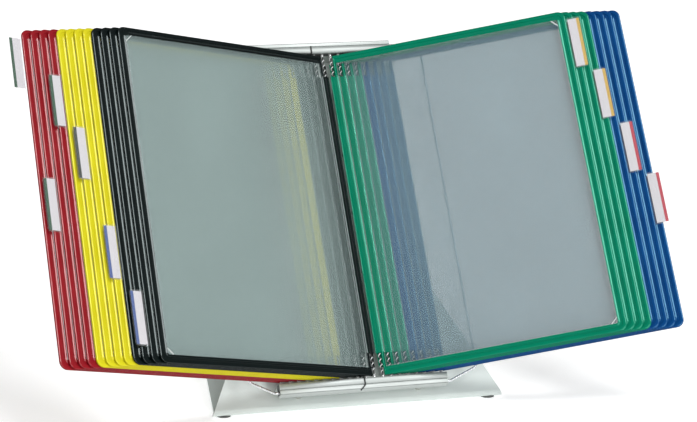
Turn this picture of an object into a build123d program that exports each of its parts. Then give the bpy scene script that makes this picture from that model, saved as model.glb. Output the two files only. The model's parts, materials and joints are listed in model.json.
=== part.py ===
from build123d import *
import os
from math import cos, radians, sin, tan

# A desk stand with twenty hinged display leaves. Millimetres, +X right, +Y back, +Z up.
# The origin is on the desk, under the middle of the whole stand.
# "Up the slope" runs along the leaning plate. "In front" is square to it, towards the reader.

# ---- driving dimensions ----
LEAN = 56.7  # angle between the desk and the leaning plate, degrees
MIDDLE_X = 3.8  # middle of the rails, which puts the stand's box evenly about the origin
PIVOT_Y = -64.3  # lower end of the pivot axes
PIVOT_Z = 30.0
LEAF_COUNT = 20
LEFT_COUNT = 12  # leaves that rest on the left
PITCH = 7.67  # from one pivot to the next
LEAF_ANGLE = 21.0  # angle between a resting leaf and the slope, degrees
LEAF_REACH = 219.0  # pivot axis to the leaf's outer edge
LEAF_HEIGHT = 312.0

# ---- leaf frame and films ----
FRAME_THICK = 2.4
BAR = 7.5
SPINE_LAP = 3.0  # frame behind the pivot axis
OUTER_CORNER = 7.0
WINDOW_CORNER = 2.0
FILM_LAP = 2.0
FILM_THICK = 0.3
FILM_GAP = 0.4
MOUTH = 0.4  # slot in the top bar, where paper goes in
MOUTH_WIDTH = 200.0

# ---- pivot pins ----
PIN_R = 1.25
PIN_REACH = 7.0  # beyond the leaf
PIN_NECK_R = 0.95
PIN_ROOT_R = 0.7
PIN_ROOT = 9.0
PIN_ROOT_PLAY = 0.05
NOTCH_HEIGHT = 21.0
NOTCH_WIDTH = 4.8
BEAD_COUNT = 4
BEAD_LENGTH = 3.0

# ---- index tabs ----
TAB_TOPS = {1: 8, 3: 141, 5: 45, 7: 95, 9: 187, 11: 247, 13: 8, 15: 60, 17: 114, 19: 165}
TAB_LENGTH = 50.0
TAB_REACH = 13.5
TAB_THICK = 1.2
TAB_GAP = 0.3
TAB_PLAY = 0.1
TAB_GROOVE_WIDTH = 0.9
TAB_GROOVE_DEPTH = 2.5
TAB_GROOVE_MARGIN = 7.0
CARD_THICK = 0.3
CARD_SLOT = 0.5
CARD_MARGIN = 1.2

# ---- rails and pivot strips ----
RAIL_LENGTH = 153.0
RAIL_HEIGHT = 10.5
RAIL_DEPTH = 11.0
RAIL_GAP = 2.0  # leaf to rail
RAIL_WALL = 1.3
RAIL_MOUTH = 6.0
RAIL_CORNER = 1.2
RAIL_GROOVE = 0.7
RAIL_GROOVE_AT = 6.4  # from the rail's open face
STRIP_HEIGHT = 5.6
STRIP_PLAY = 0.1
PIN_HOLE_R = 1.30

# ---- folded sheet ----
SHEET = 2.0
PLATE_BEHIND = 18.0  # pivot axes to the plate's front face
FOLD_R = 4.0
FOOT_PROUD = 1.5
FRONT_HALF = 134.5
PLATE_TAPER = 0.475
COLUMN_HALF = 76.5
PLATE_TOP = 326.0
SHEET_CORNER = 10.0
FLOOR_DEPTH = 189.0
FLOOR_HALF = 131.0
FLOOR_TAPER = 0.176
TRIM_DEPTH = 10.0

# ---- feet, screws and spacers ----
FOOT_R = 6.0
FOOT_STEM_R = 2.4
FOOT_CAP_R = 3.6
FOOT_CAP = 1.2
FOOT_PLACES = ((121.5, 11.0), (88.0, 176.0))  # half spacing, distance behind the front edge
SCREW_HALF_SPACING = 55.0
SCREW_R = 2.0
SCREW_HEAD_R = 3.4
SCREW_HEAD = 1.8
SPACER_R = 3.0
HOLE_PLAY = 0.1

# ---- wires ----
STOP_WIRE_R = 1.1
STOP_WIRE_OUT = 103.5  # upright run, from the middle
STOP_WIRE_FRONT = 9.0  # upright run, in front of the pivot axes
STOP_WIRE_IN = 36.0  # inner end, inside the rail
STOP_WIRE_EXIT = 80.0
STOP_WIRE_DEEP = 7.4  # below the rail's open face
STOP_WIRE_LAP = 0.7
STOP_WIRE_BEND = 4.0
TIE_WIRE_R = 0.6
TIE_WIRE_X = 0.5
TIE_WIRE_HOOK = 5.0  # its lower tail, to the side
TIE_WIRE_TAIL = 1.5  # below the rail
TIE_WIRE_BEND = 1.3
TIE_WIRE_CLEAR = 0.05

# ---- places worked out from the above ----
ACROSS = Vector(1, 0, 0)
UPHILL = Vector(0, cos(radians(LEAN)), sin(radians(LEAN)))
FORWARD = Vector(0, -sin(radians(LEAN)), cos(radians(LEAN)))
PIVOT = Vector(MIDDLE_X, PIVOT_Y, PIVOT_Z)
FRAME_HALF = FRAME_THICK / 2
LOWER_FACE = -RAIL_GAP  # each rail's open face, up the slope
UPPER_FACE = LEAF_HEIGHT + RAIL_GAP
LOWER_MIDDLE = LOWER_FACE - RAIL_HEIGHT / 2
UPPER_MIDDLE = UPPER_FACE + RAIL_HEIGHT / 2
FOLD_UP = (FOOT_PROUD - PIVOT_Z + PLATE_BEHIND * cos(radians(LEAN))) / sin(radians(LEAN))
FOLD_REACH = FOLD_R / tan(radians(LEAN / 2))
WINDOW_X = (SPINE_LAP + LEAF_REACH) / 2 - SPINE_LAP
WINDOW_WIDTH = LEAF_REACH + SPINE_LAP - 2 * BAR
WINDOW_HEIGHT = LEAF_HEIGHT - 2 * BAR


def place(across, uphill, forward):
    """The point at these distances across, up the slope and in front of the pivot axes."""
    return PIVOT + ACROSS * across + UPHILL * uphill + FORWARD * forward


def desk_plane(height):
    """Parallel to the desk, with X measured from the middle of the rails."""
    return Plane(origin=(MIDDLE_X, 0, height))


def slope_plane(forward):
    """Parallel to the leaning plate: X across, Y up the slope."""
    return Plane(origin=place(0, 0, forward), x_dir=ACROSS, z_dir=FORWARD)


def section_plane(across):
    """Square to the rails: X up the slope, Y forward."""
    return Plane(origin=place(across, 0, 0), x_dir=UPHILL, z_dir=ACROSS)


def pivot_x(number):
    return (number - (LEAF_COUNT + 1) / 2) * PITCH


def leaf_plane(number):
    """The middle of a leaf's thickness: X outward from its pivot axis, Y up the slope."""
    side = -1 if number <= LEFT_COUNT else 1
    angle = radians(LEAF_ANGLE)
    outward = ACROSS * (side * cos(angle)) + FORWARD * sin(angle)
    return Plane(origin=place(pivot_x(number), 0, 0), x_dir=outward, z_dir=outward.cross(UPHILL))


def pin_plane(number, uphill, direction):
    """Square to a pivot axis at a leaf's end, with Z into the leaf."""
    return Plane(origin=place(pivot_x(number), uphill, 0), x_dir=ACROSS, z_dir=UPHILL * direction)


def save(builder, label):
    builder.part.label = label
    export_step(builder.part, f"parts/{label}.step")


FRONT_Y = place(0, FOLD_UP, -PLATE_BEHIND).Y
os.makedirs("parts", exist_ok=True)


# ---- folded sheet: floor plate, fold and leaning plate ----
rear_edge = (FRONT_Y + FLOOR_DEPTH, FOOT_PROUD)
fold_corner = (FRONT_Y, FOOT_PROUD)
plate_end = place(0, PLATE_TOP, -PLATE_BEHIND)
with BuildPart() as bent_sheet:
    with BuildSketch(Plane.YZ.offset(MIDDLE_X - FRONT_HALF)):
        with BuildLine():
            FilletPolyline(rear_edge, fold_corner, (plate_end.Y, plate_end.Z), radius=FOLD_R)
            offset(amount=SHEET, side=Side.RIGHT)
        make_face()
    extrude(amount=2 * FRONT_HALF)

shoulder_up = FOLD_UP + (FRONT_HALF - COLUMN_HALF) / PLATE_TAPER
below_fold = 2.0
with BuildPart() as outline:
    with BuildSketch(slope_plane(1 - PLATE_BEHIND)):
        with BuildLine():
            Polyline(
                (0, FOLD_UP - below_fold),
                (FRONT_HALF + below_fold * PLATE_TAPER, FOLD_UP - below_fold),
                (COLUMN_HALF, shoulder_up),
                (COLUMN_HALF, PLATE_TOP),
                (0, PLATE_TOP),
                close=True,
            )
        make_face()
        fillet(vertices().sort_by(Axis.Y)[-2:].sort_by(Axis.X)[-1], SHEET_CORNER)
        mirror(about=Plane.YZ)
    extrude(amount=-TRIM_DEPTH)
    with BuildSketch(desk_plane(0)):
        with BuildLine():
            Polyline(
                (0, FRONT_Y + FOLD_REACH),
                (FLOOR_HALF, FRONT_Y + FOLD_REACH),
                (FLOOR_HALF - (FLOOR_DEPTH - FOLD_REACH) * FLOOR_TAPER, FRONT_Y + FLOOR_DEPTH),
                (0, FRONT_Y + FLOOR_DEPTH),
                close=True,
            )
        make_face()
        fillet(vertices().sort_by(Axis.Y)[-2:].sort_by(Axis.X)[-1], SHEET_CORNER)
        mirror(about=Plane.YZ)
    extrude(amount=FOOT_PROUD + SHEET)

foot_spots = [
    (side * half, FRONT_Y + behind) for half, behind in FOOT_PLACES for side in (-1, 1)
]
screw_spots = [
    (side * SCREW_HALF_SPACING, up) for up in (LOWER_MIDDLE, UPPER_MIDDLE) for side in (-1, 1)
]
with BuildPart() as base_sheet:
    add(bent_sheet.part)
    add(outline.part, mode=Mode.INTERSECT)
    with BuildSketch(desk_plane(0)):
        with Locations(*foot_spots):
            Circle(FOOT_STEM_R + HOLE_PLAY)
    extrude(amount=FOOT_PROUD + SHEET, mode=Mode.SUBTRACT)
    with BuildSketch(slope_plane(-PLATE_BEHIND)):
        with Locations(*screw_spots):
            Circle(SCREW_R + HOLE_PLAY)
    extrude(amount=-SHEET, mode=Mode.SUBTRACT)
save(base_sheet, "base_sheet")


# ---- rubber feet, pushed through holes in the floor plate ----
with BuildPart() as feet:
    for height, radius, length in (
        (0, FOOT_R, FOOT_PROUD),
        (FOOT_PROUD, FOOT_STEM_R, SHEET),
        (FOOT_PROUD + SHEET, FOOT_CAP_R, FOOT_CAP),
    ):
        with BuildSketch(desk_plane(height)):
            with Locations(*foot_spots):
                Circle(radius)
        extrude(amount=length)
save(feet, "rubber_feet")


# ---- rails, open towards the leaves ----
def rail(face, away):
    """One rail: face is its open side's height, away is 1 above that side or -1 below it."""
    middle = face + away * RAIL_HEIGHT / 2
    with BuildPart() as piece:
        with BuildSketch(section_plane(-RAIL_LENGTH / 2)):
            with Locations((middle, 0)):
                RectangleRounded(RAIL_HEIGHT, RAIL_DEPTH, RAIL_CORNER)
                inner = (RAIL_HEIGHT - 2 * RAIL_WALL, RAIL_DEPTH - 2 * RAIL_WALL)
                Rectangle(*inner, mode=Mode.SUBTRACT)
            with Locations((face, 0)):
                Rectangle(3 * RAIL_WALL, RAIL_MOUTH, mode=Mode.SUBTRACT)
            with Locations((face + away * RAIL_GROOVE_AT, RAIL_DEPTH / 2)):
                Rectangle(RAIL_GROOVE, 2 * RAIL_GROOVE, mode=Mode.SUBTRACT)
        extrude(amount=RAIL_LENGTH)
        with BuildSketch(slope_plane(-RAIL_DEPTH / 2)):
            with Locations((-SCREW_HALF_SPACING, middle), (SCREW_HALF_SPACING, middle)):
                Circle(SCREW_R + HOLE_PLAY / 2)
        extrude(amount=RAIL_WALL, mode=Mode.SUBTRACT)
    return piece


save(rail(LOWER_FACE, -1), "lower_rail")
save(rail(UPPER_FACE, 1), "upper_rail")


# ---- pivot strips: a T-section in each rail, with a hole for each leaf's pin ----
with BuildPart() as strips:
    for face, away in ((LOWER_FACE, -1), (UPPER_FACE, 1)):
        neck = RAIL_WALL + STRIP_PLAY
        body = STRIP_HEIGHT - neck
        with BuildSketch(section_plane(-RAIL_LENGTH / 2)):
            with Locations((face + away * neck / 2, 0)):
                Rectangle(neck, RAIL_MOUTH - 2 * STRIP_PLAY)
            with Locations((face + away * (neck + body / 2), 0)):
                Rectangle(body, RAIL_DEPTH - 2 * (RAIL_WALL + STRIP_PLAY))
        extrude(amount=RAIL_LENGTH)
        open_side = Plane(origin=place(0, face, 0), x_dir=ACROSS, z_dir=UPHILL * away)
        with BuildSketch(open_side):
            with GridLocations(PITCH, PITCH, LEAF_COUNT, 1):
                Circle(PIN_HOLE_R)
        extrude(amount=STRIP_HEIGHT, mode=Mode.SUBTRACT)
save(strips, "pivot_strips")


# ---- spacers and screws between the leaning plate and the rails ----
with BuildPart() as spacers:
    with BuildSketch(slope_plane(-PLATE_BEHIND)):
        with Locations(*screw_spots):
            Circle(SPACER_R)
            Circle(SCREW_R + HOLE_PLAY, mode=Mode.SUBTRACT)
    extrude(amount=PLATE_BEHIND - RAIL_DEPTH / 2)
save(spacers, "rail_spacers")

with BuildPart() as screws:
    with BuildSketch(slope_plane(-PLATE_BEHIND - SHEET)):
        with Locations(*screw_spots):
            Circle(SCREW_HEAD_R)
    extrude(amount=-SCREW_HEAD)
    with BuildSketch(slope_plane(-PLATE_BEHIND - SHEET)):
        with Locations(*screw_spots):
            Circle(SCREW_R)
    extrude(amount=PLATE_BEHIND + SHEET - RAIL_DEPTH / 2 + RAIL_WALL - HOLE_PLAY)
save(screws, "rail_screws")


# ---- stop wires: a bow on each side, from rail to rail, that the outermost leaves lean on ----
def stop_wire(side):
    lower = LOWER_FACE - STOP_WIRE_DEEP
    upper = UPPER_FACE + STOP_WIRE_DEEP
    out = side * STOP_WIRE_OUT
    route = [
        place(side * STOP_WIRE_IN, lower, 0),
        place(side * STOP_WIRE_EXIT, lower, 0),
        place(out, -STOP_WIRE_LAP, STOP_WIRE_FRONT),
        place(out, LEAF_HEIGHT + STOP_WIRE_LAP, STOP_WIRE_FRONT),
        place(side * STOP_WIRE_EXIT, upper, 0),
        place(side * STOP_WIRE_IN, upper, 0),
    ]
    with BuildPart() as wire:
        with BuildLine():
            FilletPolyline(*route, radius=STOP_WIRE_BEND)
        with BuildSketch(section_plane(side * STOP_WIRE_IN)):
            with Locations((lower, 0)):
                Circle(STOP_WIRE_R)
        sweep()
    return wire


save(stop_wire(-1), "left_stop_wire")
save(stop_wire(1), "right_stop_wire")


# ---- centre tie wire: runs up behind the pivots and hooks round the front of both rails ----
hook_front = RAIL_DEPTH / 2 + TIE_WIRE_R + TIE_WIRE_CLEAR
run_behind = -hook_front - TIE_WIRE_R
low_pass = LOWER_FACE + TIE_WIRE_R + 2 * TIE_WIRE_CLEAR
high_pass = UPPER_FACE - TIE_WIRE_R - 2 * TIE_WIRE_CLEAR
low_turn = LOWER_FACE - RAIL_HEIGHT + TIE_WIRE_HOOK - TIE_WIRE_TAIL
low_end = low_turn - TIE_WIRE_HOOK
high_end = UPPER_FACE + RAIL_GROOVE_AT
tie_route = [
    place(TIE_WIRE_X - TIE_WIRE_HOOK, low_end, hook_front),
    place(TIE_WIRE_X, low_turn, hook_front),
    place(TIE_WIRE_X, low_pass, hook_front),
    place(TIE_WIRE_X, low_pass, run_behind),
    place(TIE_WIRE_X, high_pass, run_behind),
    place(TIE_WIRE_X, high_pass, hook_front),
    place(TIE_WIRE_X, high_end, hook_front),
]
with BuildPart() as tie_wire:
    with BuildLine():
        FilletPolyline(*tie_route, radius=TIE_WIRE_BEND)
    with BuildSketch(Plane(origin=tie_route[0], z_dir=tie_route[1] - tie_route[0])):
        Circle(TIE_WIRE_R)
    sweep()
save(tie_wire, "centre_tie_wire")


# ---- leaves ----
def leaf_frame(number):
    """Moulded ring, with a beaded steel pin standing in a notch at each spine corner."""
    plane = leaf_plane(number)
    with BuildPart() as piece:
        with BuildSketch(plane):
            with Locations((WINDOW_X, LEAF_HEIGHT / 2)):
                Rectangle(LEAF_REACH + SPINE_LAP, LEAF_HEIGHT)
            fillet(vertices().group_by(Axis.X)[-1], OUTER_CORNER)
            with Locations((WINDOW_X, LEAF_HEIGHT / 2)):
                window = (WINDOW_WIDTH, WINDOW_HEIGHT)
                RectangleRounded(*window, WINDOW_CORNER, mode=Mode.SUBTRACT)
            for end in (0, LEAF_HEIGHT):
                with Locations((-SPINE_LAP, end)):
                    Rectangle(2 * NOTCH_WIDTH, 2 * NOTCH_HEIGHT, mode=Mode.SUBTRACT)
        extrude(amount=FRAME_HALF, both=True)
        with BuildSketch(plane):
            with Locations((WINDOW_X, LEAF_HEIGHT / 2)):
                Rectangle(WINDOW_WIDTH + 2 * FILM_LAP, WINDOW_HEIGHT + 2 * FILM_LAP)
        extrude(amount=FILM_GAP / 2 + FILM_THICK, both=True, mode=Mode.SUBTRACT)
        with BuildSketch(plane):
            with Locations((WINDOW_X, LEAF_HEIGHT)):
                Rectangle(MOUTH_WIDTH, 2 * BAR, mode=Mode.ADD)
        extrude(amount=MOUTH / 2, both=True, mode=Mode.SUBTRACT)
        with BuildSketch(plane):
            with Locations((LEAF_REACH, LEAF_HEIGHT / 2)):
                Rectangle(2 * TAB_GROOVE_DEPTH, LEAF_HEIGHT - 2 * TAB_GROOVE_MARGIN)
        extrude(amount=TAB_GROOVE_WIDTH / 2, both=True, mode=Mode.SUBTRACT)
        for end, direction in ((0, 1), (LEAF_HEIGHT, -1)):
            pin = pin_plane(number, end, direction)
            with BuildSketch(pin.offset(NOTCH_HEIGHT)):
                Circle(PIN_ROOT_R + PIN_ROOT_PLAY)
            extrude(amount=PIN_ROOT, mode=Mode.SUBTRACT)
            with BuildSketch(pin.offset(-PIN_REACH)):
                Circle(PIN_R)
            extrude(amount=PIN_REACH)
            with BuildSketch(pin):
                Circle(PIN_NECK_R)
            extrude(amount=NOTCH_HEIGHT - PIN_ROOT_PLAY)
            with BuildSketch(pin):
                Circle(PIN_ROOT_R)
            extrude(amount=NOTCH_HEIGHT + PIN_ROOT - PIN_ROOT_PLAY)
            for bead in range(BEAD_COUNT):
                gap = NOTCH_HEIGHT / BEAD_COUNT
                with BuildSketch(pin.offset(bead * gap + (gap - BEAD_LENGTH) / 2)):
                    Circle(PIN_R)
                extrude(amount=BEAD_LENGTH)
    return piece


def leaf_pocket(number):
    """Two clear films held in the frame's inner groove, with room for paper between them."""
    with BuildPart() as piece:
        for side in (-1, 1):
            with BuildSketch(leaf_plane(number).offset(side * FILM_GAP / 2)):
                with Locations((WINDOW_X, LEAF_HEIGHT / 2)):
                    Rectangle(WINDOW_WIDTH + 2 * FILM_LAP, WINDOW_HEIGHT + 2 * FILM_LAP)
            extrude(amount=side * FILM_THICK)
    return piece


def leaf_tab(number):
    """Clear holder that slides in the frame's outer groove, with a card in its slot."""
    plane = leaf_plane(number)
    up = LEAF_HEIGHT - TAB_TOPS[number] - TAB_LENGTH / 2
    holder_width = TAB_REACH - TAB_GAP
    foot_start = LEAF_REACH - TAB_GROOVE_DEPTH + 2 * TAB_PLAY
    foot_width = LEAF_REACH + 2 * TAB_GAP - foot_start
    holder_x = LEAF_REACH + TAB_GAP + holder_width / 2
    card = (holder_width - 2 * CARD_MARGIN, TAB_LENGTH - 2 * CARD_MARGIN)
    with BuildPart() as piece:
        with BuildSketch(plane):
            with Locations((holder_x, up)):
                Rectangle(holder_width, TAB_LENGTH)
            fillet(vertices().group_by(Axis.X)[-1], 2 * TAB_THICK)
        extrude(amount=TAB_THICK / 2, both=True)
        with BuildSketch(plane):
            with Locations((foot_start + foot_width / 2, up)):
                Rectangle(foot_width, TAB_LENGTH)
        extrude(amount=TAB_GROOVE_WIDTH / 2 - TAB_PLAY, both=True)
        with BuildSketch(plane):
            with Locations((holder_x, up + CARD_MARGIN)):
                Rectangle(card[0], card[1] + 2 * CARD_MARGIN)
        extrude(amount=CARD_SLOT / 2, both=True, mode=Mode.SUBTRACT)
        with BuildSketch(plane):
            with Locations((holder_x, up)):
                Rectangle(card[0] - 2 * TAB_PLAY, card[1] - 2 * TAB_PLAY)
        extrude(amount=CARD_THICK / 2, both=True)
    return piece


for leaf in range(1, LEAF_COUNT + 1):
    save(leaf_frame(leaf), f"frame_{leaf:02d}")
    save(leaf_pocket(leaf), f"pocket_{leaf:02d}")
for leaf in TAB_TOPS:
    save(leaf_tab(leaf), f"tab_{leaf:02d}")
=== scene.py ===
import json
from math import cos, pi, radians, sin

import bpy
from mathutils import Matrix, Vector, noise

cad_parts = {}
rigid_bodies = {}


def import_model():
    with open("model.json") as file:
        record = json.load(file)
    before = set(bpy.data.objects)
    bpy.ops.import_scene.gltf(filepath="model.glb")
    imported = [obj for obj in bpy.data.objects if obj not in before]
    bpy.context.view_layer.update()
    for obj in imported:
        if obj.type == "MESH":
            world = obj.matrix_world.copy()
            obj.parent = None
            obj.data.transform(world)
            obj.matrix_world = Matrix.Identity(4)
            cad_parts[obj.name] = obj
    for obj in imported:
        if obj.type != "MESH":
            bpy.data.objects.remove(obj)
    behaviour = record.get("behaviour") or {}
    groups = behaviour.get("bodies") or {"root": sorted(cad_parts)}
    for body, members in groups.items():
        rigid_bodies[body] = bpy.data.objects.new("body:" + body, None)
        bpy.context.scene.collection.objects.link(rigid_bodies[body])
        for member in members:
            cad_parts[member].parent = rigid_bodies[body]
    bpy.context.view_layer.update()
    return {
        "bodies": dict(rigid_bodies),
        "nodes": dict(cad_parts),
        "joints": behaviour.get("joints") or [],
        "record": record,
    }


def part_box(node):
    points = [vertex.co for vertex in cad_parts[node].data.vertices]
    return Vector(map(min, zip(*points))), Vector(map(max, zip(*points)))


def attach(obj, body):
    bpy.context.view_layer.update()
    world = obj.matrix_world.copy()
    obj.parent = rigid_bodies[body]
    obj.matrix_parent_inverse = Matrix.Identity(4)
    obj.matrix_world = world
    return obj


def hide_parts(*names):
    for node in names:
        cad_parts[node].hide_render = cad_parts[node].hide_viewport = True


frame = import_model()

# The visible model of a desk stand with twenty hinged display leaves.
# Metres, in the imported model's frame: +X right along the rails, +Y away from the reader, +Z up.
# A leaf's own axes: X outward from its pivot axis, Y up the slope, Z through its thickness.

MM = 0.001

# ---- a leaf's sizes ----
LEAF_ANGLE = radians(21)  # between a resting leaf and the slope
LEAF_REACH = 219 * MM
LEAF_HEIGHT = 312 * MM
SPINE_LAP = 3 * MM  # frame behind the pivot axis
BAR = 7.5 * MM
BAR_HALF = 1.2 * MM  # half the frame's thickness
OUTER_CORNER = 7 * MM
WINDOW_CORNER = 2 * MM
NOTCH_HEIGHT = 21 * MM
NOTCH_WIDTH = 4.8 * MM
FILM_LAP = 1.7 * MM
FILM_INSIDE = 0.2 * MM  # middle of the leaf to a film's inner face
FILM_OUTSIDE = 0.5 * MM

# ---- places worked out from the frame ----
JOINTS = {joint["name"]: joint for joint in frame["joints"]}
SLOTS = {part["node"]: part["material_slot"] for part in frame["record"]["subparts"]}
LEAVES = sorted(int(body[-2:]) for body in frame["bodies"] if body.startswith("leaf_"))
TABS = sorted(int(body[-2:]) for body in frame["bodies"] if body.startswith("tab_"))
ACROSS = Vector((1, 0, 0))
UPHILL = Vector(JOINTS["leaf_01_turn"]["axis"]).normalized()
FORWARD = ACROSS.cross(UPHILL)


def leaf_side(number):
    """-1 for a leaf that rests on the left and 1 for one on the right."""
    return 1 if JOINTS[f"leaf_{number:02d}_turn"]["range_deg"][0] < 0 else -1


def leaf_matrix(number):
    """Takes a leaf's own axes to the frame. Its origin is on the pivot axis, at the bottom edge."""
    outward = ACROSS * (leaf_side(number) * cos(LEAF_ANGLE)) + FORWARD * sin(LEAF_ANGLE)
    middle = Vector(JOINTS[f"leaf_{number:02d}_turn"]["pos_m"])
    columns = Matrix((outward, UPHILL, outward.cross(UPHILL))).transposed().to_4x4()
    return Matrix.Translation(middle - UPHILL * LEAF_HEIGHT / 2) @ columns


# ---- meshes ----
ROUND_CREASE = 50  # degrees; a sharper edge than this stays sharp


def band(near, far, size):
    """Faces between two loops of size points, from the index of each loop's first point."""
    quads = []
    for index in range(size):
        after = (index + 1) % size
        quads.append((near + index, near + after, far + after, far + index))
    return quads


class Surface:
    """Collects vertices and faces, and makes one mesh of them."""

    def __init__(self):
        self.points = []
        self.faces = []
        self.face_slots = []

    def add(self, points, faces, slot=0):
        first = len(self.points)
        self.points += [tuple(point) for point in points]
        self.faces += [tuple(first + index for index in face) for face in faces]
        self.face_slots += [slot] * len(faces)

    def tube(self, loops, closed=False, slot=0):
        """Skins loops of equal length, and caps both ends unless the tube is closed on itself."""
        size = len(loops[0])
        points = [point for loop in loops for point in loop]
        faces = []
        for row in range(len(loops) if closed else len(loops) - 1):
            faces += band(row * size, (row + 1) % len(loops) * size, size)
        if not closed:
            last = len(points) - size
            faces += [tuple(reversed(range(size))), tuple(range(last, len(points)))]
        self.add(points, faces, slot)

    def pad(self, centre, along, across, height, shrink=0.8, slot=0):
        """A low block with sloping sides: half sizes along and across, height above its foot."""
        centre, along, across, height = map(Vector, (centre, along, across, height))
        ring = ((-1, -1), (1, -1), (1, 1), (-1, 1))
        foot = [centre + along * a + across * b for a, b in ring]
        top = [centre + height + (along * a + across * b) * shrink for a, b in ring]
        flip = along.cross(across).dot(height) < 0
        self.tube([top, foot] if flip else [foot, top], slot=slot)

    def mesh(self, name, crease=35):
        """Makes the mesh, smooth except where two faces meet at more than crease degrees."""
        made = bpy.data.meshes.new(name)
        made.from_pydata(self.points, [], self.faces)
        made.polygons.foreach_set("material_index", self.face_slots)
        made.shade_smooth()
        made.set_sharp_from_angle(angle=radians(crease))
        made.validate()
        return made


def arc(centre, radius, start, end, steps):
    """Points on an arc, angles in degrees."""
    angles = [radians(start + (end - start) * step / steps) for step in range(steps + 1)]
    return [Vector((centre[0] + radius * cos(a), centre[1] + radius * sin(a), 0)) for a in angles]


def show(name, mesh, body, matrix=None, replaced=()):
    """Makes a piece of a mesh and puts it on its body."""
    piece = bpy.data.objects.new(name, mesh)
    bpy.context.scene.collection.objects.link(piece)
    if matrix is not None:
        piece.matrix_world = matrix
    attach(piece, body)
    if replaced:
        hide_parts(*replaced)
    return piece


# ---- materials ----
def shader(name, colour, roughness):
    """A new material, its node tree and its Principled shader."""
    material = bpy.data.materials.new(name)
    material.use_nodes = True
    tree = material.node_tree
    principled = tree.nodes["Principled BSDF"]
    principled.inputs["Base Color"].default_value = (*colour, 1)
    principled.inputs["Roughness"].default_value = roughness
    return material, tree, principled


def grain(tree, size, stretch=(1, 1, 1), detail=3.0):
    """A noise over the piece's own coordinates, with features about size across."""
    coordinates = tree.nodes.new("ShaderNodeTexCoord")
    mapping = tree.nodes.new("ShaderNodeMapping")
    mapping.inputs["Scale"].default_value = stretch
    texture = tree.nodes.new("ShaderNodeTexNoise")
    texture.inputs["Scale"].default_value = 1 / size
    texture.inputs["Detail"].default_value = detail
    tree.links.new(coordinates.outputs["Object"], mapping.inputs["Vector"])
    tree.links.new(mapping.outputs["Vector"], texture.inputs["Vector"])
    return texture.outputs["Fac"]


def vary(tree, factor, socket, low, high, spread=(0.3, 0.7)):
    """Drives a number from low to high as the factor crosses the spread."""
    ranged = tree.nodes.new("ShaderNodeMapRange")
    ranged.inputs["From Min"].default_value, ranged.inputs["From Max"].default_value = spread
    ranged.inputs["To Min"].default_value = low
    ranged.inputs["To Max"].default_value = high
    tree.links.new(factor, ranged.inputs["Value"])
    tree.links.new(ranged.outputs["Result"], socket)


def tint(tree, factor, socket, first, second, spread=(0.3, 0.7)):
    """Drives a colour from first to second as the factor crosses the spread."""
    ramp = tree.nodes.new("ShaderNodeValToRGB")
    for stop, place, colour in zip(ramp.color_ramp.elements, spread, (first, second)):
        stop.position = place
        stop.color = (*colour, 1)
    tree.links.new(factor, ramp.inputs["Fac"])
    tree.links.new(ramp.outputs["Color"], socket)


def emboss(tree, factor, principled, depth, strength=1.0):
    """Bumps the surface by a factor, depth in metres."""
    bump = tree.nodes.new("ShaderNodeBump")
    bump.inputs["Distance"].default_value = depth
    bump.inputs["Strength"].default_value = strength
    tree.links.new(factor, bump.inputs["Height"])
    tree.links.new(bump.outputs["Normal"], principled.inputs["Normal"])


def shade(colour, factor):
    return tuple(channel * factor for channel in colour)


def moulded_plastic(name, colour, paler, gloss):
    """Glossy plastic, faintly clouded between two tones. Its shine takes the tint gloss."""
    material, tree, principled = shader(name, colour, 0.16)
    principled.inputs["Specular Tint"].default_value = (*gloss, 1)
    tint(tree, grain(tree, 30 * MM), principled.inputs["Base Color"], colour, paler)
    vary(tree, grain(tree, 12 * MM), principled.inputs["Roughness"], 0.12, 0.2)
    emboss(tree, grain(tree, 0.4 * MM), principled, 0.01 * MM)
    return material


def clear_weld(name, colour, alpha):
    """Clear plastic such as the film's welded edge: pale, glossy and partly see-through."""
    material, tree, principled = shader(name, colour, 0.12)
    vary(tree, grain(tree, 3 * MM), principled.inputs["Roughness"], 0.08, 0.2)
    emboss(tree, grain(tree, 1.5 * MM), principled, 0.02 * MM)
    principled.inputs["Alpha"].default_value = alpha
    return material


def clear_film(name, colour, alpha):
    """Thin clear film. One surface takes little light, and a stack of them makes a grey haze."""
    material, tree, principled = shader(name, colour, 0.25)
    clouds = grain(tree, 60 * MM, stretch=(1, 0.4, 1))
    darker, paler = shade(colour, 0.92), shade(colour, 1.08)
    tint(tree, clouds, principled.inputs["Base Color"], darker, paler)
    emboss(tree, grain(tree, 5 * MM, stretch=(1, 0.3, 1)), principled, 0.05 * MM)
    principled.inputs["Alpha"].default_value = alpha
    return material


def paper(name, colour):
    """Uncoated card with faint fibres."""
    material, tree, principled = shader(name, colour, 0.75)
    fibres = grain(tree, 0.5 * MM, stretch=(1, 0.35, 1), detail=5)
    tint(tree, fibres, principled.inputs["Base Color"], shade(colour, 0.93), colour)
    emboss(tree, fibres, principled, 0.02 * MM)
    return material


def brushed_metal(name, colour, stretch, roughness, size=1.2 * MM, metallic=1.0):
    """Metal with fine drawn lines along the axis whose stretch is small."""
    material, tree, principled = shader(name, colour, roughness)
    lines = grain(tree, size, stretch=stretch, detail=4)
    tint(tree, lines, principled.inputs["Base Color"], shade(colour, 0.9), colour)
    vary(tree, lines, principled.inputs["Roughness"], roughness - 0.08, roughness + 0.1)
    emboss(tree, lines, principled, 0.01 * MM)
    principled.inputs["Metallic"].default_value = metallic
    return material


def powder_coat(name, colour):
    """Powder coat with a fine orange peel."""
    material, tree, principled = shader(name, colour, 0.5)
    clouds = grain(tree, 45 * MM)
    tint(tree, clouds, principled.inputs["Base Color"], shade(colour, 0.96), shade(colour, 1.03))
    vary(tree, grain(tree, 2 * MM), principled.inputs["Roughness"], 0.45, 0.6)
    emboss(tree, grain(tree, 0.7 * MM, detail=1.5), principled, 0.06 * MM)
    return material


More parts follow.
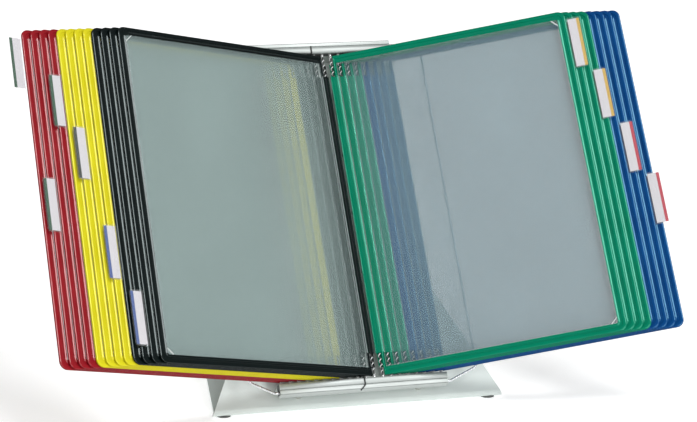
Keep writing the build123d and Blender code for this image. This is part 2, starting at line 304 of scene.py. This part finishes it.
def matte(name, colour, roughness, size):
    """Dull rubber or plastic with a coarse grain, its features about size across."""
    material, tree, principled = shader(name, colour, roughness)
    spots = grain(tree, size, detail=5)
    tint(tree, spots, principled.inputs["Base Color"], shade(colour, 0.75), shade(colour, 1.3))
    vary(tree, spots, principled.inputs["Roughness"], roughness - 0.1, roughness + 0.08)
    emboss(tree, spots, principled, 0.05 * MM)
    return material


# For each frame: its colour, its paler tone, and the tint of its shine.
FRAME_COLOURS = {
    "frame_red": ((0.27, 0.006, 0.012), (0.31, 0.010, 0.017), (1.0, 0.80, 0.80)),
    "frame_yellow": ((0.66, 0.60, 0.012), (0.72, 0.66, 0.020), (0.75, 0.70, 0.35)),
    "frame_black": ((0.0015, 0.004, 0.004), (0.003, 0.007, 0.007), (0.70, 0.80, 0.80)),
    "frame_green": ((0.0, 0.185, 0.098), (0.0, 0.21, 0.115), (0.35, 1.0, 0.80)),
    "frame_blue": ((0.001, 0.045, 0.19), (0.002, 0.058, 0.22), (0.35, 0.80, 1.0)),
}
FRAME_PLASTIC = {slot: moulded_plastic(slot, *tones) for slot, tones in FRAME_COLOURS.items()}
CARD_TONES = {
    "green": (0.010, 0.070, 0.030),
    "dark": (0.02, 0.03, 0.025),
    "blue": (0.04, 0.09, 0.30),
    "ochre": (0.62, 0.40, 0.07),
    "red": (0.50, 0.03, 0.06),
}
CARD_STRIPS = {
    1: "green",
    3: "green",
    5: "green",
    7: "dark",
    9: "blue",
    11: "blue",
    13: "ochre",
    15: "ochre",
    17: "red",
    19: "red",
}
CARD_PAPER = {tone: paper(f"card_{tone}", colour) for tone, colour in CARD_TONES.items()}
WHITE_PAPER = paper("card_white", (0.66, 0.64, 0.67))
# Films by the side that their leaf rests on. Both are the same clear film, and their tones and
# see-through differ only as painted light: the left copy is paler and warmer as if more brightly
# lit, the right copy darker and bluer as if in less light.
FILMS_PAINTED_BY_SIDE = {
    -1: clear_film("clear_film_left_painted_light", (0.245, 0.32, 0.31), 0.10),
    1: clear_film("clear_film_right_painted_light", (0.155, 0.235, 0.265), 0.065),
}
TOP_LEAF = 13  # lies uppermost on the right, with the clearest film
# It takes the right copy's painted-light tone, and lets more light through.
TOP_FILM = clear_film("clear_film_top", (0.155, 0.235, 0.265), 0.014)
TAB_PLASTIC = clear_weld("clear_tab", (0.70, 0.73, 0.73), 0.05)
WELD = clear_weld("clear_weld", (0.50, 0.60, 0.60), 0.08)
SEAM = clear_weld("clear_seam", (0.85, 0.88, 0.88), 0.55)
STUD_RUBBER = matte("stud_rubber", (0.01, 0.013, 0.012), 0.35, 0.8 * MM)
PIN_STEEL = brushed_metal("pin_steel", (0.94, 0.96, 0.96), (1, 0.1, 1), 0.22, metallic=0.45)
PIN_CORE = matte("pin_core_black", (0.03, 0.032, 0.032), 0.45, 1.0 * MM)

# ---- finishes of the CAD parts that stay ----
UP_THE_SLOPE = (1, 0.3, 0.3)  # stretch of the drawn lines
ALONG_THE_RAIL = (0.02, 1, 1)
STOP_WIRE_STEEL = brushed_metal(
    "stop_wire_steel", (0.72, 0.74, 0.76), UP_THE_SLOPE, 0.24, metallic=0.7
)
FINISHES = {
    "base_sheet": powder_coat("powder_coat", (0.64, 0.70, 0.675)),
    "rubber_feet": matte("foot_rubber", (0.10, 0.105, 0.10), 0.8, 0.8 * MM),
    "rail_spacers": brushed_metal("spacer_zinc", (0.62, 0.62, 0.58), (1, 1, 1), 0.35),
    "rail_screws": brushed_metal("screw_zinc", (0.66, 0.65, 0.58), (1, 1, 1), 0.3, 0.6 * MM),
    "pivot_strips": matte("strip_plastic", (0.05, 0.055, 0.055), 0.5, 1.5 * MM),
    "left_stop_wire": STOP_WIRE_STEEL,
    "right_stop_wire": STOP_WIRE_STEEL,
    "centre_tie_wire": matte("tie_wire_black", (0.02, 0.024, 0.022), 0.4, 1.0 * MM),
}
RAIL_METAL = brushed_metal(
    "rail_anodised", (0.45, 0.485, 0.472), ALONG_THE_RAIL, 0.42, metallic=0.3
)
for node, finish in FINISHES.items():
    cad = frame["nodes"][node]
    cad.data.materials.clear()
    cad.data.materials.append(finish)


# ---- leaf frame: a moulded ring ----
# From its outer edge inward, the bar has a round half, a ribbed channel and a rim. The rim's broad
# slope faces the outer edge, and its narrow lip slopes down to the window.
# One face of the bar, from its outer edge (0) to its window edge (1): share of its width, height.
# It starts and ends inside the bar, at the floors of the tab's groove and the film's slot.
TAB_GROOVE_HALF = 0.45 * MM
TAB_GROOVE = 0.333
BAR_FACE = (
    (TAB_GROOVE, TAB_GROOVE_HALF),
    (0.000, TAB_GROOVE_HALF),
    (0.004, 0.60 * MM),
    (0.025, 0.78 * MM),
    (0.065, 0.94 * MM),
    (0.125, 1.07 * MM),
    (0.200, 1.16 * MM),
    (0.300, 1.20 * MM),
    (0.400, 1.20 * MM),
    (0.440, 1.16 * MM),
    (0.465, 0.64 * MM),
    (0.735, 0.62 * MM),
    (0.755, 0.729 * MM),
    (0.895, 1.111 * MM),
    (0.905, 1.111 * MM),
    (1.000, 0.893 * MM),
    (1.000, FILM_OUTSIDE),
    (0.760, FILM_OUTSIDE),
)
BAR_SECTION = BAR_FACE + tuple((share, -height) for share, height in reversed(BAR_FACE))
BAR_CREASE = 15  # degrees; keeps the rim's slope flat, so that it shines as one line
CORNER_STEPS = 8
SPINE_STEP = 0.02 * MM  # height of the step at a notch's end
CHANNEL_MIDDLE = 0.59
CHANNEL_FLOOR = 0.60 * MM
RIB_ACROSS = 0.115 * BAR  # half sizes
RIB_ALONG = 0.72 * MM
RIB_PITCH = 2.0 * MM
RIB_HEIGHT = 0.32 * MM
RIB_TOP = 0.45  # of its foot
RIB_CORNER_MARGIN = 3 * MM
RIB_NOTCH_MARGIN = 2 * MM


def bar_stations():
    """Pairs of an outer point and a window point, once round the ring."""
    right = LEAF_REACH
    top = LEAF_HEIGHT
    window_left = BAR - SPINE_LAP
    notch = NOTCH_WIDTH - SPINE_LAP
    pairs = []
    for side, corner_y, window_y, start in ((-1, 0, BAR, -90), (1, top, top - BAR, 0)):
        outer = (right - OUTER_CORNER, corner_y - side * OUTER_CORNER)
        inner = (right - BAR - WINDOW_CORNER, window_y - side * WINDOW_CORNER)
        outer_arc = arc(outer, OUTER_CORNER, start, start + 90, CORNER_STEPS)
        inner_arc = arc(inner, WINDOW_CORNER, start, start + 90, CORNER_STEPS)
        pairs += list(zip(outer_arc, inner_arc))
    notch_end = top - NOTCH_HEIGHT
    full_width = notch_end - SPINE_STEP
    spine = (
        (notch, top, window_left, top - BAR),
        (notch, top - BAR, window_left, top - BAR),
        (notch, notch_end, window_left, notch_end),
        (-SPINE_LAP, full_width, window_left, full_width),
    )
    upper = [(Vector((a, b, 0)), Vector((c, d, 0))) for a, b, c, d in spine]
    lower = [(Vector((a, top - b, 0)), Vector((c, top - d, 0))) for a, b, c, d in reversed(spine)]
    return pairs + upper + lower


def bar_ribs(ring):
    """Low cross ribs in the channel, on both faces of all four bars."""
    middle = CHANNEL_MIDDLE * BAR
    margin = OUTER_CORNER + RIB_CORNER_MARGIN
    notch_margin = NOTCH_HEIGHT + RIB_NOTCH_MARGIN
    # Where each run of ribs starts, its direction and its length.
    runs = (
        ((LEAF_REACH - middle, margin), (0, 1), LEAF_HEIGHT - 2 * margin),
        ((middle - SPINE_LAP, notch_margin), (0, 1), LEAF_HEIGHT - 2 * notch_margin),
        ((BAR, middle), (1, 0), LEAF_REACH - BAR - margin),
        ((BAR, LEAF_HEIGHT - middle), (1, 0), LEAF_REACH - BAR - margin),
    )
    for start, direction, length in runs:
        start, direction = Vector((*start, 0)), Vector((*direction, 0))
        across = Vector((direction.y, direction.x, 0)) * RIB_ACROSS
        for face in (-1, 1):
            floor = Vector((0, 0, face * CHANNEL_FLOOR))
            lift = Vector((0, 0, face * RIB_HEIGHT))
            for rib in range(int(length / RIB_PITCH) + 1):
                foot = start + direction * (rib * RIB_PITCH) + floor
                ring.pad(foot, direction * RIB_ALONG, across, lift, shrink=RIB_TOP)


CRADLE = (8 * MM, NOTCH_HEIGHT + 0.5 * MM)  # its two ends, from the leaf's edge
CRADLE_INSIDE = 1.7 * MM  # radii
CRADLE_OUTSIDE = 2.1 * MM
CRADLE_STEPS = 8


def cradle_loops(edge, inward, side):
    """A half-round trough behind the spring, on the face that is away from the reader at rest."""
    turns = [pi * step / CRADLE_STEPS for step in range(CRADLE_STEPS + 1)]
    section = [Vector((-cos(t), 0, -side * sin(t))) * CRADLE_OUTSIDE for t in turns]
    section += [Vector((-cos(t), 0, -side * sin(t))) * CRADLE_INSIDE for t in reversed(turns)]
    ends = [Vector((0, edge + inward * along, 0)) for along in CRADLE]
    loops = [[point + end for point in section] for end in ends]
    if side * inward < 0:
        loops.reverse()
    return loops


def frame_mesh(slot, side):
    """The ring, its ribs and the two troughs that its springs lie in."""
    ring = Surface()
    loops = []
    for outer, window in bar_stations():
        loop = []
        for share, height in reversed(BAR_SECTION):
            loop.append(outer.lerp(window, share) + Vector((0, 0, height)))
        loops.append(loop)
    ring.tube(loops, closed=True)
    bar_ribs(ring)
    for edge, inward in ((0, 1), (LEAF_HEIGHT, -1)):
        ring.tube(cradle_loops(edge, inward, side))
    mesh = ring.mesh(slot, crease=BAR_CREASE)
    mesh.materials.append(FRAME_PLASTIC[slot])
    return mesh


# ---- the film's welded edge: a thin clear border inside the window, with cut corners ----
# Share of the bar's width from its outer edge, height in millimetres.
WELD_SECTION = ((0.985, 0.50), (0.985, 0.63), (1.05, 0.65), (1.14, 0.61), (1.16, 0.50))
CORNER_CUT = 6 * MM
SEAM_ALONG = 0.68 * CORNER_CUT  # half sizes
SEAM_ACROSS = 0.4 * MM
SEAM_HEIGHT = 0.25 * MM


def weld_mesh():
    """A border on each face, and a raised diagonal seam across each outer corner of the window."""
    weld = Surface()
    cut = BAR + CORNER_CUT / 2
    for face in (-1, 1):
        loops = []
        for outer, window in bar_stations():
            loop = []
            for share, height in WELD_SECTION:
                loop.append(outer.lerp(window, share) + Vector((0, 0, face * height * MM)))
            loops.append(list(reversed(loop)) if face > 0 else loop)
        weld.tube(loops, closed=True)
        for corner_y, rise in ((cut, 1), (LEAF_HEIGHT - cut, -1)):
            middle = Vector((LEAF_REACH - cut, corner_y, face * FILM_OUTSIDE))
            along = Vector((1, rise, 0)).normalized() * SEAM_ALONG
            across = Vector((1, -rise, 0)).normalized() * SEAM_ACROSS
            weld.pad(middle, along, across, (0, 0, face * SEAM_HEIGHT), slot=1)
    mesh = weld.mesh("weld_border", crease=ROUND_CREASE)
    mesh.materials.append(WELD)
    mesh.materials.append(SEAM)
    return mesh


# ---- steel pins, one at each spine corner, each in the coil spring that holds it out ----
PIN_R = 1.25 * MM
PIN_CORE_R = 0.5 * MM
PIN_REACH = 7 * MM
PIN_ROOT = 8 * MM
PIN_SIDES = 16
# Share of the pin's radius, distance inward from its tip and from the leaf's edge.
PIN_TIP = ((0.5, 0), (0.85, 0.15 * MM), (1, 0.6 * MM))
PIN_FOOT = ((1, 0), (0.8, 0.2 * MM))
COIL_TURNS = 4
COIL_STEPS = 14  # in one turn
COIL_SIDES = 8
COIL_WIRE_R = 0.42 * MM
COIL_R = 1.06 * MM  # to the middle of the wire


def pin_outline():
    """The bright pin and its dark core: radius, and distance from the leaf's edge into the leaf."""
    pin = [(share * PIN_R, along - PIN_REACH) for share, along in PIN_TIP]
    pin += [(share * PIN_R, along) for share, along in PIN_FOOT]
    core = ((PIN_CORE_R, 0), (PIN_CORE_R, NOTCH_HEIGHT + PIN_ROOT))
    return pin, core


def coil_loops(edge, inward):
    """Loops of the spring's wire, which winds round the pin through the notch."""
    rise = (NOTCH_HEIGHT - 2 * COIL_WIRE_R) / (COIL_TURNS * 2 * pi)
    angles = [2 * pi * corner / COIL_SIDES for corner in range(COIL_SIDES)]
    loops = []
    for step in range(COIL_TURNS * COIL_STEPS + 1):
        turn = 2 * pi * step / COIL_STEPS
        out = Vector((cos(turn), 0, -inward * sin(turn)))
        forward = Vector((-sin(turn) * COIL_R, inward * rise, -inward * cos(turn) * COIL_R))
        side = forward.normalized().cross(out)
        centre = out * COIL_R + Vector((0, edge + inward * (COIL_WIRE_R + rise * turn), 0))
        loops.append([centre + (out * cos(a) - side * sin(a)) * COIL_WIRE_R for a in angles])
    return loops


def pin_mesh():
    """Both pins of a leaf, with their cores and springs."""
    pins = Surface()
    turns = [2 * pi * step / PIN_SIDES for step in range(PIN_SIDES)]
    for edge, inward in ((0, 1), (LEAF_HEIGHT, -1)):
        for slot, outline in enumerate(pin_outline()):
            loops = []
            for r, along in outline:
                y = edge + inward * along
                loops.append([Vector((r * cos(t), y, -inward * r * sin(t))) for t in turns])
            pins.tube(loops, slot=slot)
        pins.tube(coil_loops(edge, inward))
    mesh = pins.mesh("leaf_pins", crease=ROUND_CREASE)
    mesh.materials.append(PIN_STEEL)
    mesh.materials.append(PIN_CORE)
    return mesh


# ---- dark studs that keep the spines of neighbouring leaves apart ----
STUD_HEIGHTS = (99 * MM, 156 * MM, 213 * MM)
STUD_HALF = 1.6 * MM  # along the spine
STUD_PROUD = 0.9 * MM
STUD_THICK = 0.95 * BAR_HALF
STUD_SINK = 0.05 * MM
STUD_STEPS = 8
# Rounded ends: share of the half length, share of the full section.
STUD_OUTLINE = ((-1, 0.35), (-0.85, 0.8), (-0.5, 1.0), (0.5, 1.0), (0.85, 0.8), (1, 0.35))


def stud_mesh():
    """Half-round studs on the spine's edge, along the pivot axis."""
    studs = Surface()
    for middle in STUD_HEIGHTS:
        loops = []
        for share, size in STUD_OUTLINE:
            y = middle + share * STUD_HALF
            loop = []
            for step in range(STUD_STEPS + 1):
                angle = pi / 2 + pi * step / STUD_STEPS
                x = -SPINE_LAP + STUD_SINK + STUD_PROUD * size * cos(angle)
                loop.append(Vector((x, y, STUD_THICK * size * sin(angle))))
            loops.append(loop)
        studs.tube(loops)
    mesh = studs.mesh("spine_studs", crease=ROUND_CREASE)
    mesh.materials.append(STUD_RUBBER)
    return mesh


# ---- films: two sheets in each leaf's slot, with a faint ripple ----
FILM_CELLS = (16, 22)
RIPPLE = 0.28 * MM
RIPPLE_SIZE = 70 * MM
RIPPLE_EDGE = 6  # the ripple is full from a sixth of the way in
LEAF_SEED = 3.7  # steps through the noise, so that no two films ripple alike
SIDE_SEED = 5.1
FILM_CREASE = 60


def closed_sheet(layers, columns, rows, side):
    """Points and faces of a thin closed sheet between an inner and an outer grid of points."""
    inner, outer = layers
    size = len(inner)

    def at(column, row):
        return row * (columns + 1) + column

    faces = []
    for row in range(rows):
        for column in range(columns):
            corners = ((0, 0), (1, 0), (1, 1), (0, 1))
            cell = [at(column + right, row + up) for right, up in corners]
            faces.append(tuple(size + index for index in cell))
            faces.append(tuple(reversed(cell)))
    rim = [at(column, 0) for column in range(columns)]
    rim += [at(columns, row) for row in range(rows)]
    rim += [at(column, rows) for column in range(columns, 0, -1)]
    rim += [at(0, row) for row in range(rows, 0, -1)]
    for first, second in zip(rim, rim[1:] + rim[:1]):
        faces.append((first, second, size + second, size + first))
    if side < 0:
        faces = [tuple(reversed(face)) for face in faces]
    return inner + outer, faces


def film_mesh(number):
    """Both films of a leaf. Each ripples freely in the window and lies flat in the frame's slot."""
    sheets = Surface()
    left = BAR - SPINE_LAP - FILM_LAP
    low = BAR - FILM_LAP
    width = LEAF_REACH - BAR + FILM_LAP - left
    height = LEAF_HEIGHT - 2 * low
    columns, rows = FILM_CELLS
    for side in (-1, 1):
        seed = Vector((number * LEAF_SEED, side * SIDE_SEED, 0))
        layers = []
        for depth in (FILM_INSIDE, FILM_OUTSIDE):
            points = []
            for row in range(rows + 1):
                for column in range(columns + 1):
                    u, v = column / columns, row / rows
                    x, y = left + u * width, low + v * height
                    free = min(1, RIPPLE_EDGE * min(u, 1 - u, v, 1 - v))
                    wave = noise.noise(Vector((x, y, 0)) / RIPPLE_SIZE + seed) * RIPPLE * free
                    points.append((x, y, side * depth + wave))
            layers.append(points)
        sheets.add(*closed_sheet(layers, columns, rows, side))
    mesh = sheets.mesh(f"films_{number:02d}", crease=FILM_CREASE)
    # Each side takes its own copy of the film, with that side's painted light.
    mesh.materials.append(TOP_FILM if number == TOP_LEAF else FILMS_PAINTED_BY_SIDE[leaf_side(number)])
    return mesh


# ---- index tabs: a clear sleeve on a foot, with a card whose outer edge is coloured ----
TAB_LENGTH = 50 * MM
TAB_WIDTH = 13.2 * MM
TAB_HALF = 0.6 * MM  # half the sleeve's thickness
TAB_NOSE = 2.4 * MM  # radius of its outer corners
TAB_NOSE_STEPS = (0, 0.12, 0.4, 1)  # shares of it, from the sleeve's end
TAB_GAP = 0.3 * MM
TAB_WALL = 1.2 * MM
TAB_BEVEL = 0.5 * MM
TAB_CREASE = 25
CARD_SLOT_HALF = 0.25 * MM
CARD_SLOT_BEVEL = 0.3 * MM
BEVEL_LEAVES = 0.4  # share of the thickness
FOOT_DEPTH = 2.2 * MM
FOOT_HALF = 0.33 * MM
FOOT_SHORTER = 0.5 * MM  # than the sleeve, at each end
CARD_PLAY = 0.1 * MM  # in its slot, all round
CARD_HALF = 0.13 * MM
CARD_BOW = 0.08 * MM
CARD_ROWS = 6
STRIP_SHARE = 0.26
# Shares of the card's width: its white part, then its coloured strip.
CARD_COLUMNS = ((0, 0.5, 1 - STRIP_SHARE), (1 - STRIP_SHARE, 1))


def tab_height(number):
    """A tab's middle above its leaf's bottom edge, read from its CAD box."""
    low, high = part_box(f"tab_{number:02d}")
    centre = leaf_matrix(number).inverted() @ ((low + high) / 2)
    return centre.y


def sleeve_loop(start, nose, y, half, bevel):
    """A section across the sleeve or its slot, from the leaf to its outer edge and back."""
    outline = (
        (start, -1),
        (nose - bevel, -1),
        (nose, -BEVEL_LEAVES),
        (nose, BEVEL_LEAVES),
        (nose - bevel, 1),
        (start, 1),
    )
    return [Vector((x, y, share * half)) for x, share in outline]


def sleeve_mesh(number):
    """The sleeve with its card slot, closed at both ends, and its foot in the frame's groove."""
    middle = tab_height(number)
    start = LEAF_REACH + TAB_GAP
    outside, inside = [], []
    ends = [share * TAB_NOSE for share in TAB_NOSE_STEPS]
    ends += [TAB_LENGTH - along for along in reversed(ends)]
    for along in ends:
        near = min(along, TAB_LENGTH - along, TAB_NOSE)
        pull = TAB_NOSE - (TAB_NOSE**2 - (TAB_NOSE - near) ** 2) ** 0.5
        nose = start + TAB_WIDTH - pull
        y = middle - TAB_LENGTH / 2 + along
        outside.append(sleeve_loop(start, nose, y, TAB_HALF, TAB_BEVEL))
        slot = (start + TAB_WALL, nose - TAB_WALL)
        inside.append(sleeve_loop(*slot, y, CARD_SLOT_HALF, CARD_SLOT_BEVEL))
    size = len(outside[0])
    last = len(outside) - 1
    points = [point for loop in outside + inside for point in loop]
    shift = len(outside) * size  # from a point outside to its match in the slot
    faces = []
    for row in range(last):
        for wall in band(row * size, (row + 1) * size, size):
            faces.append(tuple(reversed(wall)))
            faces.append(tuple(shift + corner for corner in wall))
    faces += band(0, shift, size)
    faces += [tuple(reversed(cap)) for cap in band(last * size, shift + last * size, size)]
    sleeve = Surface()
    sleeve.add(points, faces)
    foot = Vector((LEAF_REACH - FOOT_DEPTH / 2 + TAB_GAP, middle, -FOOT_HALF))
    half_length = Vector((0, TAB_LENGTH / 2 - FOOT_SHORTER, 0))
    half_width = Vector((FOOT_DEPTH / 2 + TAB_GAP, 0, 0))
    sleeve.pad(foot, half_length, half_width, (0, 0, 2 * FOOT_HALF), shrink=1)
    mesh = sleeve.mesh(f"tab_sleeve_{number:02d}", crease=TAB_CREASE)
    mesh.materials.append(TAB_PLASTIC)
    return mesh


def card_mesh(number):
    """White card with a coloured strip along its outer edge, slightly bowed."""
    middle = tab_height(number)
    start = LEAF_REACH + TAB_GAP + TAB_WALL + CARD_PLAY
    width = TAB_WIDTH - 2 * (TAB_WALL + CARD_PLAY)
    length = TAB_LENGTH - 2 * (TAB_WALL + CARD_PLAY)
    card = Surface()
    for slot, columns in enumerate(CARD_COLUMNS):
        places = [start + width * share for share in columns]
        loops = []
        for row in range(CARD_ROWS, -1, -1):
            share = row / CARD_ROWS - 0.5
            y = middle + length * share
            bow = CARD_BOW * cos(pi * share)
            over = [Vector((x, y, bow + CARD_HALF)) for x in places]
            under = [Vector((x, y, bow - CARD_HALF)) for x in reversed(places)]
            loops.append(over + under)
        card.tube(loops, slot=slot)
    mesh = card.mesh(f"tab_card_{number:02d}")
    mesh.materials.append(WHITE_PAPER)
    mesh.materials.append(CARD_PAPER[CARD_STRIPS[number]])
    return mesh


# ---- rails: an aluminium section with a round lobe, a groove and a recessed flange ----
RAIL_HALF_LENGTH = 76.5 * MM
RAIL_GAP = 2 * MM  # leaf to rail
# The wall's outline: distance from the open face, height off the rail's middle, in millimetres.
# Its back carries a web that reaches the leaning plate.
RAIL_FRONT = (
    ((0.0, 3.0), (0.0, 3.9), (0.12, 4.45), (0.45, 4.95), (0.95, 5.28), (1.6, 5.45), (2.5, 5.5))
    + ((3.9, 5.5), (4.75, 5.42), (5.4, 5.2), (5.8, 4.85), (6.0, 4.4), (6.05, 3.95), (6.75, 3.95))
    + ((6.78, 4.85), (6.95, 5.02), (9.75, 5.02), (9.85, 4.85), (9.9, 4.2), (10.2, 4.15))
    + ((10.25, 4.6), (10.5, 4.4), (10.5, 3.9))
)
RAIL_BACK = (
    ((10.5, -4.5), (10.2, -5.2), (9.5, -5.5), (1.8, -5.5), (1.3, -6.0), (1.3, -15.5))
    + ((1.8, -16.0), (3.2, -16.2), (3.2, -17.7), (0.4, -17.7), (0.0, -17.3), (0.0, -3.0))
)
RAIL_INSIDE = (
    ((1.3, -3.0), (1.3, -4.2), (9.2, -4.2), (9.2, 3.6), (7.4, 3.6), (7.2, 3.2), (5.6, 3.2))
    + ((5.2, 4.0), (4.6, 4.2), (1.3, 4.2), (1.3, 3.0))
)
RAIL_CREASE = 24
RAIL_EDGE = 0.12 * MM  # width of its softened edges
RAIL_EDGE_ANGLE = 60  # softened from this many degrees up


def rail_mesh(name, face, away):
    """A rail along X. face is where its open face lies up the slope; away points off the leaves."""
    middle = Vector(JOINTS["leaf_01_turn"]["pos_m"]) + Vector(JOINTS["leaf_20_turn"]["pos_m"])
    foot = middle / 2 + UPHILL * (face - LEAF_HEIGHT / 2)
    outline = RAIL_FRONT + RAIL_BACK + RAIL_INSIDE
    loops = []
    for end in (-1, 1):
        start = foot + ACROSS * end * RAIL_HALF_LENGTH
        loop = []
        for along, out in outline:
            loop.append(start + (UPHILL * away * along + FORWARD * out) * MM)
        loops.append(loop)
    if away > 0:
        loops.reverse()
    surface = Surface()
    surface.tube(loops)
    mesh = surface.mesh(name, crease=RAIL_CREASE)
    mesh.materials.append(RAIL_METAL)
    return mesh


def build_rails():
    rails = (("lower_rail", -RAIL_GAP, -1), ("upper_rail", LEAF_HEIGHT + RAIL_GAP, 1))
    for node, face, away in rails:
        section = rail_mesh(node, face, away)
        rail = show(f"{node}_section", section, "stand", replaced=[node])
        edges = rail.modifiers.new("soft_edges", "BEVEL")
        edges.width = RAIL_EDGE
        edges.segments = 2
        edges.angle_limit = radians(RAIL_EDGE_ANGLE)


# ---- build the leaves and tabs ----
def build_leaves():
    rings = {}
    pins, weld, studs = pin_mesh(), weld_mesh(), stud_mesh()
    for number in LEAVES:
        body = f"leaf_{number:02d}"
        matrix = leaf_matrix(number)
        frame_node, pocket = f"frame_{number:02d}", f"pocket_{number:02d}"
        slot = SLOTS[frame_node]
        if slot not in rings:
            rings[slot] = frame_mesh(slot, leaf_side(number))
        show(f"leaf_ring_{number:02d}", rings[slot], body, matrix, [frame_node])
        show(f"leaf_pins_{number:02d}", pins, body, matrix)
        show(f"leaf_weld_{number:02d}", weld, body, matrix)
        if number % 2:
            show(f"leaf_studs_{number:02d}", studs, body, matrix)
        sheets = film_mesh(number)
        films = show(f"leaf_films_{number:02d}", sheets, body, matrix, [pocket])
        films.visible_shadow = False
        films.visible_diffuse = False


def build_tabs():
    for number in TABS:
        body = f"tab_{number:02d}"
        matrix = leaf_matrix(number)
        mesh = sleeve_mesh(number)
        sleeve = show(f"tab_sleeve_{number:02d}", mesh, body, matrix, [body])
        sleeve.visible_shadow = False
        show(f"tab_card_{number:02d}", card_mesh(number), body, matrix)


build_rails()
build_leaves()
build_tabs()


# ---- stage, light and camera ----
FLOOR_HALF = 9
FLOOR_GLOW = 0.5
WORLD_LIGHT = 0.2
# Name, the direction it shines from, strength, and degrees across.
SUNS = (
    ("key", (0.27, -0.545, 0.79), 1.3, 21),
    ("front_fill", (0.05, -0.93, 0.36), 1.05, 34),
    ("left_softbox", (-0.80, -0.204, 0.562), 0.3, 10),
    ("right_softbox", (0.93, 0.23, 0.28), 0.4, 13),
)
CAMERA_EYE = Vector((-0.6057, -2.1495, 0.6031))
CAMERA_AIM = Vector((0.0002, -0.0342, 0.1732))
CAMERA_LENS = 131.8
CAMERA_SENSOR = 36
CAMERA_REACH = 50
CLEAR_LAYERS = 96  # clear surfaces that a ray can pass, for all the films of a stack


def build_stage():
    """A wide pale floor that glows a little, as in a studio."""
    surface = Surface()
    corners = ((-1, -1), (1, -1), (1, 1), (-1, 1))
    surface.add([(x * FLOOR_HALF, y * FLOOR_HALF, 0) for x, y in corners], [(0, 1, 2, 3)])
    floor = bpy.data.objects.new("floor", surface.mesh("floor"))
    bpy.context.scene.collection.objects.link(floor)
    material, tree, principled = shader("floor_white", (0.93, 0.93, 0.93), 0.9)
    darker, paler = (0.92, 0.92, 0.92), (0.94, 0.94, 0.94)
    tint(tree, grain(tree, 0.4), principled.inputs["Base Color"], darker, paler)
    principled.inputs["Emission Color"].default_value = (1, 1, 1, 1)
    principled.inputs["Emission Strength"].default_value = FLOOR_GLOW
    floor.data.materials.append(material)


def build_light():
    """An even white world and broad distant lights."""
    world = bpy.data.worlds.new("studio")
    world.use_nodes = True
    background = world.node_tree.nodes["Background"]
    background.inputs["Color"].default_value = (1, 1, 1, 1)
    background.inputs["Strength"].default_value = WORLD_LIGHT
    bpy.context.scene.world = world
    for name, towards, strength, across in SUNS:
        lamp = bpy.data.lights.new(name, "SUN")
        lamp.energy = strength
        lamp.angle = radians(across)
        holder = bpy.data.objects.new(name, lamp)
        holder.rotation_mode = "QUATERNION"
        holder.rotation_quaternion = Vector(towards).to_track_quat("Z", "Y")
        bpy.context.scene.collection.objects.link(holder)


def build_camera():
    data = bpy.data.cameras.new("camera")
    data.sensor_width = CAMERA_SENSOR
    data.lens = CAMERA_LENS
    data.clip_end = CAMERA_REACH
    camera = bpy.data.objects.new("camera", data)
    camera.location = CAMERA_EYE
    camera.rotation_mode = "QUATERNION"
    camera.rotation_quaternion = (CAMERA_AIM - CAMERA_EYE).to_track_quat("-Z", "Y")
    bpy.context.scene.collection.objects.link(camera)
    bpy.context.scene.camera = camera


build_stage()
build_light()
build_camera()
scene = bpy.context.scene
scene.view_settings.view_transform = "Standard"
scene.cycles.transparent_max_bounces = CLEAR_LAYERS
